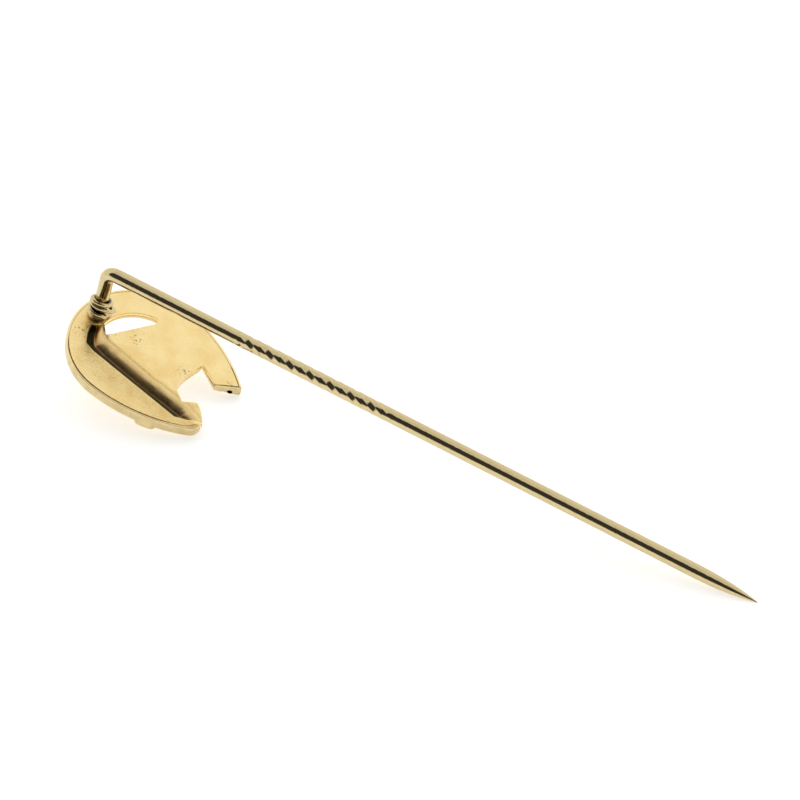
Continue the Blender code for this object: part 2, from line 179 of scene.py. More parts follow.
def head_matrix():
    """The head's frame in the world, from the record's mount and the stem, which lies over +X."""
    mount = frame["record"]["mounts"][0]
    normal = Vector(mount["axis"]).normalized()
    reach = math.hypot(normal.x, normal.z)
    pitch = math.acos(math.sin(STEM_RISE) / reach) - math.atan2(normal.z, normal.x)
    stem = Vector((math.cos(pitch), 0, -math.sin(pitch)))
    across = (stem - normal * math.sin(STEM_RISE)).normalized()
    x_axis = across * math.cos(STEM_YAW) - normal.cross(across) * math.sin(STEM_YAW)
    y_axis = normal.cross(x_axis)
    x, y = MOUNT_ON_HEAD
    origin = Vector(mount["pos_m"]) - (x_axis * x + y_axis * y) * MM
    turn = Matrix((x_axis, y_axis, normal)).transposed().to_4x4()
    return Matrix.Translation(origin) @ turn @ Matrix.Scale(MM, 4)


HEAD = head_matrix()


# Outlines: lists of (x, y), counter-clockwise as seen from the back


def arc(radius, start, end, steps, centre_y=0.0):
    """Points round a circle about (0, centre_y), between two angles in degrees."""
    angles = [math.radians(start + (end - start) * i / steps) for i in range(steps + 1)]
    return [(radius * math.cos(a), centre_y + radius * math.sin(a)) for a in angles]


def on_branch(radius, angle):
    """The point of the +Y branch at a radius, that many degrees from the Y axis towards heel 1."""
    angle = math.radians(90 - angle)
    return radius * math.cos(angle), radius * math.sin(angle) - BRANCH_DROP


def rounded(corners, steps=6):
    """A polygon through (x, y, reach) corners, each turned by a curve that starts reach before it."""
    outline = []
    for i, (x, y, reach) in enumerate(corners):
        corner = Vector((x, y))
        to_last = Vector(corners[i - 1][:2]) - corner
        to_next = Vector(corners[(i + 1) % len(corners)][:2]) - corner
        start = corner + to_last.normalized() * reach
        end = corner + to_next.normalized() * reach
        for t in np.linspace(0, 1, steps + 1 if reach else 1):
            outline.append(tuple(start * (1 - t) ** 2 + corner * 2 * t * (1 - t) + end * t**2))
    return outline


def inset(outline, distance):
    """The outline moved inwards by a distance, or by a function of each point."""
    moved = []
    for i, point in enumerate(outline):
        here = Vector(point)
        before = (here - Vector(outline[i - 1])).normalized()
        after = (Vector(outline[(i + 1) % len(outline)]) - here).normalized()
        inward = Vector((-before.y - after.y, before.x + after.x)).normalized()
        lean = max(0.5, inward.dot(Vector((-before.y, before.x))))
        reach = distance(point) if callable(distance) else distance
        moved.append(tuple(here + inward * reach / lean))
    return moved


def dense(outline):
    """The closed outline with its sides divided as finely as the mesh needs."""
    points = []
    for i, point in enumerate(outline):
        here, following = Vector(point), Vector(outline[(i + 1) % len(outline)])
        length = (following - here).length
        if length < 1e-4:
            continue
        count = max(1, math.ceil(2 * length / GRID))
        points += [tuple(here.lerp(following, k / count)) for k in range(count)]
    return points


def outer_edge(margin=0.0, heel_1_x=HEEL_X, heel_2_x=HEEL_X):
    """The outside of the shoe, less a margin, from heel 1 (+Y) round the toe to heel 2 (-Y)."""
    branch = BRANCH_RADIUS - margin
    heel_1 = math.degrees(math.asin(heel_1_x / branch))
    heel_2 = math.degrees(math.asin(heel_2_x / branch))
    upper = arc(branch, 90 - heel_1, 90, 24, -BRANCH_DROP)
    toe = arc(TOE_RADIUS - margin, 90, 270, 80)
    lower = arc(branch, 270, 270 + heel_2, 24, BRANCH_DROP)
    return upper + toe[1:-1] + lower


def groove_shoe_side():
    """The groove's edge along the shoe, from the toe to the muzzle."""
    return arc(GROOVE_RADIUS, 194, 221, 10) + [(-2.3, -3.13), (6.9, -3.36), (7.9, -2.85)]


def groove_nose_side():
    """The groove's edge along the nose, from the muzzle to the toe."""
    nose = [(7.0, -1.78, 0), (2.9, -1.85, 0), (-1.2, -1.58, 0), (-2.3, -1.55, 0.4), (-3.05, -1.0, 0.3)]
    return [(8.66, -2.2)] + rounded([*nose, (-3.6, -0.42, 0)])


def chin_edge():
    """The muzzle, the chin and the throat, with the reach of each corner's rounding."""
    muzzle = [(9.03, -2.15, 0.1), (8.1, -1.2, 0.3), (7.35, -0.8, 0.2), (6.98, -1.05, 0.15)]
    return muzzle + [(6.35, -1.65, 0.2), (5.12, -0.95, 0.3), (4.88, 0.4, 0.5), (5.1, 2.62, 0.2)]


def crescent():
    """The opening between the toe and the horse's mane."""
    toe_side = [(x, y, 0) for x, y in arc(INNER_RADIUS, 102, 183, 32)]
    return rounded([(-0.52, 3.08, 0.15), *toe_side, (-2.7, -1.0, 0.12)])


def horseshoe_outline():
    toe_inside = arc(INNER_RADIUS, 188, 88, 40)
    heel_2_end = rounded([(HEEL_2_TURN, -3.54, 0), (9.0, -3.12, 0.42), (9.06, -2.38, 0)])[1:]
    heel_1 = [(1.2, 3.5), (5.15, 2.62), HEEL_1_INSIDE]
    outside = outer_edge(heel_2_x=HEEL_2_TURN)
    return outside + heel_2_end + groove_shoe_side()[::-1] + toe_inside + heel_1


def horse_outline():
    crest = [(5.1, 2.5), (1.2, 3.36), (-0.3, 3.4), (-0.52, 3.05), (-2.7, -1.0)]
    chin = [corner for corner in rounded(chin_edge()) if corner[0] < 9.01 and corner[1] < 2]
    return groove_nose_side()[-2:0:-1] + chin + crest


def plate_outline():
    rim = outer_edge(WALL + PLATE_PLAY, HEEL_X - WALL - HEEL_LIP, HEEL_2_TURN - WALL)
    heel_2 = [(8.84, -2.98, 0.36), (HEEL_2_X - HEEL_LIP, -2.05, 0.1)]
    return rim + rounded([*heel_2, *chin_edge()[1:], (7.08, 1.83, 0.05)])


def seam(point):
    """The gap beside the plate: open along the -Y branch, half open at heel 1, else soldered."""
    x, y = point
    if x > SEAM_HEEL_1_X and y > 0:
        return SEAM * SEAM_AT_HEEL_1
    return SEAM * min(1.0, max(SEAM_SOLDERED, (SEAM_OPENS_AT - y) / SEAM_OPENS_OVER))


# Meshes


def distance_to(points, outline, closed=True):
    """How far each point is from an outline."""
    starts = np.array(outline)
    ends = np.roll(starts, -1, axis=0)
    if not closed:
        starts, ends = starts[:-1], ends[:-1]
    along = ends - starts
    lengths = np.maximum((along**2).sum(axis=1), 1e-12)
    best = np.full(len(points), np.inf)
    for start, step, length in zip(starts, along, lengths):
        t = np.clip(((points - start) @ step) / length, 0, 1)
        gap = points - start - t[:, None] * step
        best = np.minimum(best, (gap**2).sum(axis=1))
    return np.sqrt(best)


def inside(points, outline):
    """Whether each point is inside a closed outline."""
    corners = np.array(outline)
    found = np.zeros(len(points), bool)
    for (x0, y0), (x1, y1) in zip(corners, np.roll(corners, -1, axis=0)):
        if y0 == y1:
            continue
        crosses = (y0 > points[:, 1]) != (y1 > points[:, 1])
        found ^= crosses & (points[:, 0] < (x1 - x0) * (points[:, 1] - y0) / (y1 - y0) + x0)
    return found


def within(points, loops):
    """Whether each point is inside the first loop and outside the others."""
    found = inside(points, loops[0])
    for hole in loops[1:]:
        found &= ~inside(points, hole)
    return found


def filling(loops):
    """Points that fill the space between the loops: rings near each edge, then an even grid."""
    rings = []
    for loop in loops:
        for distance in EDGE_RINGS:
            for side in (1, -1):
                ring = np.array(inset(loop, side * distance))
                rings.append(ring[distance_to(ring, loop) > distance * 0.95])
    low, high = np.array(loops[0]).min(axis=0), np.array(loops[0]).max(axis=0)
    grid = []
    for i, y in enumerate(np.arange(low[1], high[1], GRID * 0.87)):
        shift = GRID / 2 * (i % 2)
        grid += [(x + shift, y) for x in np.arange(low[0], high[0], GRID)]
    ring_margin = EDGE_RINGS[0] * 0.9
    grid_margin = EDGE_RINGS[-1] + GRID / 2
    points = []
    for group, margin in ((np.vstack(rings), ring_margin), (np.array(grid), grid_margin)):
        group = group[within(group, loops)]
        gap = np.min([distance_to(group, loop) for loop in loops], axis=0)
        points.append(group[gap > margin])
    return np.vstack(points)


def triangulated(loops):
    """Points and triangles that cover the space between the loops."""
    points = []
    edges = []
    for loop in loops:
        first = len(points)
        points += loop
        edges += [(first + i, first + (i + 1) % len(loop)) for i in range(len(loop))]
    points += [tuple(point) for point in filling(loops)]
    found = delaunay_2d_cdt([Vector(point) for point in points], edges, [], 0, 1e-6, False)
    places = np.array([tuple(place) for place in found[0]])
    triangles = np.array(found[2])
    return places, triangles[within(places[triangles].mean(axis=1), loops)]


def relief(name, outline, back, front, holes=()):
    """A closed body over an outline with holes. back and front give its surfaces' heights from the
    points and their distances to the nearest edge."""
    loops = [dense(outline), *(dense(hole) for hole in holes)]
    places, triangles = triangulated(loops)
    gap = np.min([distance_to(places, loop) for loop in loops], axis=0)
    gap[gap < 1e-4] = 0
    shape = bmesh.new()
    tops = [shape.verts.new((x, y, z)) for (x, y), z in zip(places, back(places, gap))]
    bottoms = [shape.verts.new((x, y, z)) for (x, y), z in zip(places, front(places, gap))]
    for a, b, c in triangles:
        shape.faces.new((tops[a], tops[b], tops[c]))
        shape.faces.new((bottoms[c], bottoms[b], bottoms[a]))
    shape.verts.index_update()
    rim = [edge for edge in shape.edges if edge.is_boundary and edge.verts[0].index < len(tops)]
    for edge in rim:
        loop = edge.link_loops[0]
        a, b = loop.vert.index, loop.link_loop_next.vert.index
        shape.faces.new((tops[b], tops[a], bottoms[a], bottoms[b]))
    bmesh.ops.delete(shape, geom=[v for v in shape.verts if not v.link_faces], context="VERTS")
    bmesh.ops.recalc_face_normals(shape, faces=shape.faces)
    return mesh_object(name, shape)


def new_object(name, data):
    made = bpy.data.objects.new(name, data)
    bpy.context.scene.collection.objects.link(made)
    return made


def mesh_object(name, shape):
    """An object with the mesh of a bmesh, which is freed."""
    mesh = bpy.data.meshes.new(name)
    shape.to_mesh(mesh)
    shape.free()
    return new_object(name, mesh)


def prism(name, outline, bottom, top):
    """A straight body over an outline, between two heights."""
    return loft(name, [[(x, y, height) for x, y in outline] for height in (bottom, top)])


def loft(name, rings, closed=False):
    """A body through rings of points: a loop of them, or else with flat ends."""
    shape = bmesh.new()
    rows = [[shape.verts.new(point) for point in ring] for ring in rings]
    for last, row in zip(rows, rows[1:] + rows[:1] if closed else rows[1:]):
        for i in range(len(row)):
            shape.faces.new((last[i - 1], last[i], row[i], row[i - 1]))
    if not closed:
        shape.faces.new(rows[0])
        shape.faces.new(rows[-1])
    bmesh.ops.recalc_face_normals(shape, faces=shape.faces)
    return mesh_object(name, shape)


def combine(target, other, operation="DIFFERENCE"):
    """Cuts the other body from the target, or joins it, and removes the other."""
    bpy.context.view_layer.update()
    boolean = target.modifiers.new("combine", "BOOLEAN")
    boolean.operation = operation
    boolean.object = other
    graph = bpy.context.evaluated_depsgraph_get()
    mesh = bpy.data.meshes.new_from_object(target.evaluated_get(graph))
    target.modifiers.clear()
    target.data = mesh
    bpy.data.objects.remove(other)


def finish_piece(piece, material, node, sharp_angle=38):
    """Moves a piece to where the head lies, shades it and puts it in its CAD node's place."""
    piece.data.transform(HEAD)
    piece.data.materials.clear()
    piece.data.materials.append(material)
    piece.data.shade_smooth()
    piece.data.set_sharp_from_angle(angle=math.radians(sharp_angle))
    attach(piece, "root")
    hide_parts(node)


# Surfaces: heights at points


def rolled(gap, radius):
    """How far a surface drops near its edge, where a quarter circle rounds it."""
    near = np.clip(gap, 0, radius)
    return radius - np.sqrt(np.maximum(radius**2 - (radius - near) ** 2, 0))


def hill(points, x, y, reach_x, reach_y, turn=0.0):
    """A smooth hill of height 1 about a place."""
    c, s = math.cos(math.radians(turn)), math.sin(math.radians(turn))
    dx, dy = points[:, 0] - x, points[:, 1] - y
    return np.exp(-(((dx * c + dy * s) / reach_x) ** 2) - ((dy * c - dx * s) / reach_y) ** 2)


def filed(points):
    """The slight waves that a file leaves in a flat face."""
    x, y = points[:, 0], points[:, 1]
    waves = np.sin(1.1 * x + 0.7 * y + 0.4) + 0.7 * np.sin(2.3 * y - 0.9 * x + 1.9)
    return 0.006 * waves + 0.003 * np.sin(3.1 * x + 4.2 * y)


def horse_relief(points):
    """How far the horse's features and its mane stand out of the ground."""
    x, y = points[:, 0], points[:, 1]
    height = sum(size * hill(points, *place) for size, *place in HORSE_RELIEF.values())
    from_crest = (x + 2.95) * 0.85 - (y + 0.85) * 0.53
    strands = 0.5 + 0.5 * np.sin(5.2 * (y - 0.55 * x) + 1.6 * from_crest)
    mane = (MANE_GROUND + MANE_STRANDS * strands) * np.exp(-((from_crest / MANE_REACH) ** 2))
    return height + mane * (x < MANE_END_X)


# Pieces of the head


def back_plate():
    """The sheet soldered over the back, pierced by the crescent and the groove."""
    groove = groove_shoe_side() + groove_nose_side()

    def back(points, gap):
        nose = distance_to(points, groove_nose_side(), closed=False)
        edge = np.where(nose < 2 * PLATE_ROUNDING, 0, rolled(gap, PLATE_ROUNDING))
        return filed(points) - edge - NOSE_DROP * np.clip(1 - nose / NOSE_DROP_REACH, 0, 1) ** 2

    def front(points, gap):
        return np.full(len(points), -PLATE_THICKNESS)

    return relief("back_plate_sheet", plate_outline(), back, front, [crescent(), groove])


def nail_places():
    """Where the nails go, along the fuller of both branches."""
    upper = [on_branch(BRANCH_RADIUS - FULLER_PLACE, angle) for angle in NAIL_ANGLES]
    return upper + [(x, -y) for x, y in upper]


def horseshoe_front():
    """The struck shoe: a rim round the plate, a fuller with nail holes in front, and clips."""
    edge = outer_edge()

    def back(points, gap):
        return -rolled(gap, SHOE_BACK_ROUNDING)

    def front(points, gap):
        across = distance_to(points, edge, closed=False)
        thinner = (HEAD_HEIGHT - INNER_HEIGHT) * np.clip((across - THINS_FROM) / THINS_OVER, 0, 1)
        fuller = FULLER_DEPTH * np.exp(-(((across - FULLER_PLACE) / FULLER_HALF_WIDTH) ** 4))
        nails = sum(hill(points, x, y, NAIL_REACH, NAIL_REACH) ** 2 for x, y in nail_places())
        height = HEAD_HEIGHT - thinner - fuller - NAIL_DEPTH * nails
        return -height + rolled(gap, SHOE_FRONT_ROUNDING)

    shoe = relief("horseshoe_shell", horseshoe_outline(), back, front)
    for side in (-1, 1):
        combine(shoe, clip(side), "UNION")
    recess = inset(plate_outline(), lambda point: -seam(point))
    combine(shoe, prism("recess", recess, RECESS_FLOOR, 1))
    combine(shoe, vent())
    return shoe


def clip(side):
    """The small clip on the outside of one quarter: a wedge that is thickest at the front."""
    middle = math.degrees(math.asin(CLIP_X / BRANCH_RADIUS))
    half = math.degrees(CLIP_LENGTH / 2 / BRANCH_RADIUS)
    rings = []
    for up, proud in CLIP_PROFILE:
        ring = []
        for t in np.linspace(-1, 1, 25):
            out = BRANCH_RADIUS - CLIP_OVERLAP + CLIP_PROUD * proud * (1 - t**6)
            ring.append(on_branch(out, middle + half * t))
        ring += [(ring[-1][0], ring[-1][1] - CLIP_SUNK), (ring[0][0], ring[0][1] - CLIP_SUNK)]
        height = -HEAD_HEIGHT + up * CLIP_HEIGHT
        rings.append([(x, side * y, height) for x, y in ring])
    return loft("clip", rings)


def vent():
    """The hole in heel 1's end face that let gas out of the hollow shoe."""
    first, last = Vector(HEEL_1_INSIDE), Vector(HEEL_1_OUTSIDE)
    middle = Vector((*first.lerp(last, VENT_PLACE), VENT_Z))
    inwards = Vector((last.y - first.y, first.x - last.x, 0)).normalized()
    side = inwards.cross(Vector((0, 0, 1)))
    ends = (middle - inwards * VENT_DEPTH, middle + inwards * VENT_DEPTH)
    return loft("vent", [circle(end, inwards, side, VENT_RADIUS, count=32) for end in ends])


def horse_head():
    """The horse's head: a struck relief that stands proud of the shoe."""

    def back(points, gap):
        return np.full(len(points), RECESS_FLOOR)

    def front(points, gap):
        strength = HORSE_STRENGTH * np.clip(gap / HORSE_ROUNDING, 0, 1)
        height = HORSE_GROUND + horse_relief(points) * strength
        on_table = (ORIGIN_HEIGHT + TABLE_SLOPE * points[:, 0]) * TOUCHING
        return -np.minimum(height, on_table) + rolled(gap, HORSE_ROUNDING)

    return relief("horse_head_shell", inset(horse_outline(), HORSE_GAP), back, front)


def spaced(line, count):
    """Points evenly spaced along an open line."""
    corners = np.array(line)
    reached = np.concatenate(([0], np.cumsum(np.linalg.norm(np.diff(corners, axis=0), axis=1))))
    places = np.linspace(0, reached[-1], count)
    return np.stack([np.interp(places, reached, corners[:, axis]) for axis in (0, 1)], axis=1)


def groove_web():
    """The strip that joins shoe and horse: a slope down from the nose, a crease and a flat floor."""
    nose_line = spaced([WEB_NOSE_START, *groove_nose_side()[::-1]], WEB_STATIONS)
    shoe_line = spaced([WEB_SHOE_START, *groove_shoe_side()], WEB_STATIONS)
    rings = []
    for i, (nose, shoe) in enumerate(zip(nose_line, shoe_line)):
        share = i / (WEB_STATIONS - 1)
        crease = CREASE_START + CREASE_SHIFT * min(1.0, share / CREASE_SHIFT_OVER)
        depth = GROOVE_DEPTH * min(1.0, (WEB_END - share) / WEB_RISE) ** 0.5
        slope = np.linspace(0, crease, 17)
        floor = (crease + CREASE_WIDTH, crease + 2 * CREASE_WIDTH, 0.85, 1 + WEB_OVERLAP)
        top = []
        for t in (*slope, *floor):
            down = min(1.0, t / crease)
            down = (1 - SLOPE_HOLLOW) * down + SLOPE_HOLLOW * down**2
            height = -NOSE_DROP - (depth - NOSE_DROP) * down
            if t == crease:
                height += CREASE_STEP
            top.append((*(nose + (shoe - nose) * t), height))
        bottom = [(x, y, -GROOVE_DEPTH - WEB_THICKNESS) for x, y, _ in (top[-1], top[0])]
        rings.append(top + bottom)
    return loft("groove_strip", rings)


# Pieces of the wire


def circle(place, direction, side, radius, count=120, swell=None):
    """A ring of points about an axis. swell gives the radius's share at each angle."""
    other = direction.cross(side)
    ring = []
    for i in range(count):
        angle = 2 * math.pi * i / count
        share = swell(angle) if swell else 1.0
        ring.append(place + (side * math.cos(angle) + other * math.sin(angle)) * radius * share)
    return ring


def twisted(distance):
    """The section at a distance along the stem: four twisted flats with a burr at their edges, and
    the nick before them."""
    from_end = min(distance - TWIST_START, TWIST_START + TWIST_LENGTH - distance)
    fade = max(0.0, min(1.0, from_end / TWIST_FADE))
    turned = 2 * math.pi * distance / TWIST_PITCH + TWIST_PHASE
    nick = NICK_DEPTH * math.exp(-(((distance - NICK_AT) / NICK_LENGTH) ** 2))
    edge = math.acos(TWIST_FLAT / TWIST_ROUND) / FLAT_BOW

    def swell(angle):
        off_flat = abs(math.remainder(angle - turned, math.pi / 2))
        burr = TWIST_BURR * math.exp(-(((off_flat - edge) / BURR_WIDTH) ** 2))
        section = min(TWIST_FLAT / math.cos(FLAT_BOW * off_flat), TWIST_ROUND) + burr
        from_nick = math.remainder(angle - NICK_ANGLE, 2 * math.pi)
        return 1 + fade * (section - 1) - nick * math.exp(-((from_nick / NICK_WIDTH) ** 2))

    return swell


def point_radius(distance):
    """The stem's radius, which falls in a curve at the point."""
    left = max(0.0, min(1.0, (STEM_LENGTH - distance) / POINT_LENGTH))
    return POINT_RADIUS + (WIRE_RADIUS - POINT_RADIUS) * (1 - (1 - left) ** POINT_BLUNTNESS)


def stem_distances():
    """Where the stem's rings lie: close together at the nick, in the twist and at the point."""
    twist_end = TWIST_START + TWIST_LENGTH
    point_start = STEM_LENGTH - POINT_LENGTH
    before = [*range(2, NICK_START), *np.arange(NICK_START, NICK_END, 0.1)]
    before += np.arange(NICK_END, TWIST_START, 1).tolist()
    twist = np.linspace(TWIST_START, twist_end, 260)
    after = np.linspace(twist_end + 1, point_start, 16)
    point = [STEM_LENGTH - POINT_LENGTH * (1 - i / 40) ** 1.6 for i in range(1, 41)]
    return [*before, *twist, *after, *point]


def pin_wire():
    """One wire: post, bend, stem with its twisted grip, and point."""
    across = Vector((math.cos(STEM_YAW), math.sin(STEM_YAW), 0))
    side = Vector((-math.sin(STEM_YAW), math.cos(STEM_YAW), 0))
    up = Vector((0, 0, 1))
    along = across * math.cos(STEM_RISE) + up * math.sin(STEM_RISE)
    corner = Vector((*POST, POST_HEIGHT))
    turn = math.pi / 2 - STEM_RISE
    reach = BEND_RADIUS * math.tan(turn / 2)
    rings = [circle(Vector((*POST, height)), up, side, WIRE_RADIUS) for height in (-SUNK, 1, 2, 3, 4)]
    for angle in np.linspace(0, turn, 25):
        place = corner - up * reach + across * BEND_RADIUS * (1 - math.cos(angle))
        place += up * BEND_RADIUS * math.sin(angle)
        direction = across * math.sin(angle) + up * math.cos(angle)
        rings.append(circle(place, direction, side, WIRE_RADIUS))
    for distance in stem_distances():
        place = corner + along * distance
        rings.append(circle(place, along, side, point_radius(distance), swell=twisted(distance)))
    return loft("pin_wire_drawn", rings)


def coil_collar():
    """The finer wire wrapped round the post's foot: a left-handed helix, one turn of it sprung."""
    places = []
    for i in range(round(COIL_TURNS * 360 / COIL_STEP) + 1):
        turned = i * COIL_STEP
        sprung = SPRUNG_REACH * math.exp(-(((turned - SPRUNG_AT) / SPRUNG_WIDTH) ** 2))
        out = WIRE_RADIUS + COIL_WIRE_RADIUS + sprung
        angle = math.radians(COIL_START_ANGLE - turned)
        closing = COIL_CLOSING * max(0, turned / 360 - COIL_CLOSING_FROM) ** 2
        tilt = COIL_TILT * out * math.cos(angle - math.radians(COIL_TILT_ANGLE))
        height = COIL_WIRE_RADIUS + COIL_PITCH * turned / 360 - closing + tilt
        places.append(Vector((POST[0] + out * math.cos(angle), POST[1] + out * math.sin(angle), height)))
    rings = []
    for i, place in enumerate(places):
        direction = (places[min(i + 1, len(places) - 1)] - places[max(i - 1, 0)]).normalized()
        side = direction.cross(Vector((0, 0, 1))).normalized()
        rings.append(circle(place, direction, side, COIL_WIRE_RADIUS, count=20))
    return loft("coil_collar_wound", rings)


def solder_ring():
    """The fillet of solder round the post's foot, a little uneven."""
    in_post = WIRE_RADIUS - OVERLAP
    rings = []
    for i in range(64):
        angle = 2 * math.pi * i / 64
        waves = UNEVEN[0] * math.sin(3 * angle + 1) + UNEVEN[1] * math.sin(7 * angle)
        edge = SOLDER_RADIUS * (1 + waves)
        section = [(in_post, SOLDER_HEIGHT + OVERLAP * 0.4)]
        for t in np.linspace(0, 1, 9):
            section.append((WIRE_RADIUS + (edge - WIRE_RADIUS) * t, SOLDER_HEIGHT * (1 - t) ** 2))
        section += [(edge, -SUNK), (in_post, -SUNK)]
        c, s = math.cos(angle), math.sin(angle)
        rings.append([(POST[0] + out * c, POST[1] + out * s, height) for out, height in section])
    return loft("solder_fillet", rings, closed=True)


# Materials


class Nodes:
    """A node tree, with short ways to add the nodes that the metals and the light tent share."""

    def __init__(self, tree):
        self.tree = tree

    def add(self, kind):
        return self.tree.nodes.new("ShaderNode" + kind)

    def feed(self, socket, value):
        """Gives a socket its own number, or links another node's output to it."""
        if isinstance(value, bpy.types.NodeSocket):
            self.tree.links.new(value, socket)
        else:
            socket.default_value = value

    def spread(self, value, low, high, to_low=0.0, to_high=1.0):
        """Maps low..high to to_low..to_high, smoothly."""
        node = self.add("MapRange")
        node.interpolation_type = "SMOOTHSTEP"
        for name, number in (("From Min", low), ("From Max", high), ("To Min", to_low), ("To Max", to_high)):
            node.inputs[name].default_value = number
        self.feed(node.inputs["Value"], value)
        return node.outputs["Result"]

    def maths(self, operation, first, second):
        node = self.add("Math")
        node.operation = operation
        self.feed(node.inputs[0], first)
        self.feed(node.inputs[1], second)
        return node.outputs["Value"]

    def vector_maths(self, operation, vector, other):
        """The node's outputs: Vector, and Value where the operation gives a number."""
        node = self.add("VectorMath")
        node.operation = operation
        self.feed(node.inputs[0], vector)
        self.feed(node.inputs[1], other)
        return node.outputs


class Metal(Nodes):
    """A metal's material. Its patterns lie in the head's frame, in millimetres."""

    def __init__(self, name, colour, roughness):
        self.material = bpy.data.materials.new(name)
        self.material.use_nodes = True
        super().__init__(self.material.node_tree)
        self.shader = self.tree.nodes["Principled BSDF"].inputs
        self.shader["Metallic"].default_value = 1
        self.shader["Base Color"].default_value = (*colour, 1)
        self.shader["Roughness"].default_value = roughness
        self.place = self.head_frame()

    def mapped(self, source, location, rotation, scale):
        node = self.add("Mapping")
        node.inputs["Location"].default_value = location
        node.inputs["Rotation"].default_value = rotation
        node.inputs["Scale"].default_value = scale
        self.feed(node.inputs["Vector"], source)
        return node.outputs["Vector"]

    def head_frame(self):
        """Places in the head's frame, from the piece's own coordinates in metres."""
        place, turn, size = HEAD.inverted().decompose()
        return self.mapped(self.add("TexCoord").outputs["Object"], place, turn.to_euler(), size)

    def stretched(self, scale, turn):
        """Places turned and scaled, for marks that run one way."""
        return self.mapped(self.place, (0, 0, 0), [math.radians(angle) for angle in turn], scale)

    def height(self):
        """How far out of the back a place lies."""
        node = self.add("SeparateXYZ")
        self.feed(node.inputs[0], self.place)
        return node.outputs["Z"]

    def noise(self, scale, detail, rough=0.5, place=None):
        node = self.add("TexNoise")
        node.inputs["Scale"].default_value = scale
        node.inputs["Detail"].default_value = detail
        node.inputs["Roughness"].default_value = rough
        self.feed(node.inputs["Vector"], place or self.place)
        return node.outputs["Fac"]

    def mix(self, factor, first, second):
        """A colour between two, which are colours or other nodes' outputs."""
        node = self.add("Mix")
        node.data_type = "RGBA"
        self.feed(node.inputs[0], factor)
        for socket, colour in ((node.inputs[6], first), (node.inputs[7], second)):
            self.feed(socket, (*colour, 1) if isinstance(colour, tuple) else colour)
        return node.outputs[2]

    def near(self, x, y, reach):
        """1 at a place on the back face, falling to 0 at a distance."""
        distance = self.vector_maths("DISTANCE", self.place, (x, y, 0))["Value"]
        return self.spread(distance, 0, reach, 1, 0)

    def beside_post(self, close, far):
        """1 close to the post's axis, falling to 0 further out."""
        flat = self.vector_maths("MULTIPLY", self.place, (1, 1, 0))["Vector"]
        distance = self.vector_maths("DISTANCE", flat, (*POST, 0))["Value"]
        return self.spread(distance, close, far, 1, 0)

    def colour_with(self, colour):
        self.feed(self.shader["Base Color"], colour)

    def roughen_with(self, pattern, least, most):
        self.feed(self.shader["Roughness"], self.spread(pattern, 0.3, 0.7, least, most))

    def add_bump(self, pattern, distance):
        """A bump that follows the ones added before it."""
        node = self.add("Bump")
        node.inputs["Distance"].default_value = distance * MM
        node.inputs["Strength"].default_value = 1.0
        self.feed(node.inputs["Height"], pattern)
        normal = self.shader["Normal"]
        if normal.links:
            self.feed(node.inputs["Normal"], normal.links[0].from_socket)
        self.feed(normal, node.outputs["Normal"])


def satin_gold():
    """The back plate: filed and brushed gold, with small pits and warmer stains."""
    pale, warm, pit = (0.99, 0.79, 0.39), (0.93, 0.69, 0.3), (0.36, 0.24, 0.09)
    metal = Metal("satin_gold", (0.9, 0.68, 0.34), 0.34)
    colour = metal.mix(metal.spread(metal.noise(0.45, 4), 0.35, 0.7), pale, warm)
    for x, y, reach in PITTED:
        spots = metal.spread(metal.noise(4.5, 3), 0.54, 0.62)
        colour = metal.mix(metal.maths("MULTIPLY", metal.near(x, y, reach), spots), colour, pit)
    metal.colour_with(colour)
    brushed = metal.noise(4.0, 4, 0.6, metal.stretched((0.35, 4.0, 1.0), (0, 0, -38)))
    metal.roughen_with(brushed, 0.22, 0.34)
    metal.add_bump(brushed, 0.006)
    metal.add_bump(metal.noise(1.6, 3), 0.02)
    return metal.material


def polished_gold():
    """The struck front: polished gold with fine wear, its colours darkened as painted shade for the dimmer
    reflections on its walls, and painted paler, as lit, on the rim at the back.
    """
    # Painted shade: both front tones are darker than the back's gold, standing in for the dimmer reflections
    # on the walls; the rim's tone is the paler, lit one.
    bright, dull, lit_rim_tone = (0.72, 0.59, 0.32), (0.63, 0.49, 0.24), (0.95, 0.76, 0.38)
    metal = Metal("polished_gold", (0.9, 0.7, 0.38), 0.16)
    worn = metal.noise(1.2, 5, 0.6)
    colour = metal.mix(metal.spread(worn, 0.3, 0.7), bright, dull)
    # Painted light: the rim's back face is painted in the paler, lit tone.
    metal.colour_with(metal.mix(metal.spread(metal.height(), -0.12, -0.03), colour, lit_rim_tone))
    metal.roughen_with(worn, 0.12, 0.26)
    metal.add_bump(metal.noise(2.5, 4), 0.012)
    return metal.material


def tarnished_gold():
    """The groove: near black on its floor, partly tarnished and partly painted shade of the deep groove, and
    lighter up the slope, where the painted shade thins out.
    """
    # Partly real tarnished colour, partly painted shade: the groove is painted darker the deeper it lies,
    # down to near black on its floor.
    slope_tarnish_and_shade, dark_tarnish_and_shade, floor_tarnish_and_shade = (0.4, 0.25, 0.1), (0.26, 0.16, 0.07), (0.06, 0.05, 0.025)
    clean, front = (0.9, 0.65, 0.29), (0.62, 0.47, 0.22)
    metal = Metal("tarnished_gold", (0.4, 0.28, 0.12), 0.3)
    height = metal.height()
    stained_and_shaded = metal.mix(metal.spread(metal.noise(1.3, 3), 0.3, 0.7), slope_tarnish_and_shade, dark_tarnish_and_shade)
    slope = metal.mix(metal.spread(height, -0.55, -0.1), stained_and_shaded, clean)
    colour = metal.mix(metal.spread(height, -GROOVE_DEPTH, -0.565), floor_tarnish_and_shade, slope)
    metal.colour_with(metal.mix(metal.spread(height, -0.62, -0.66), colour, front))
    metal.roughen_with(metal.noise(1.2, 3), 0.26, 0.36)
    metal.add_bump(metal.noise(1.4, 3), 0.012)
    return metal.material


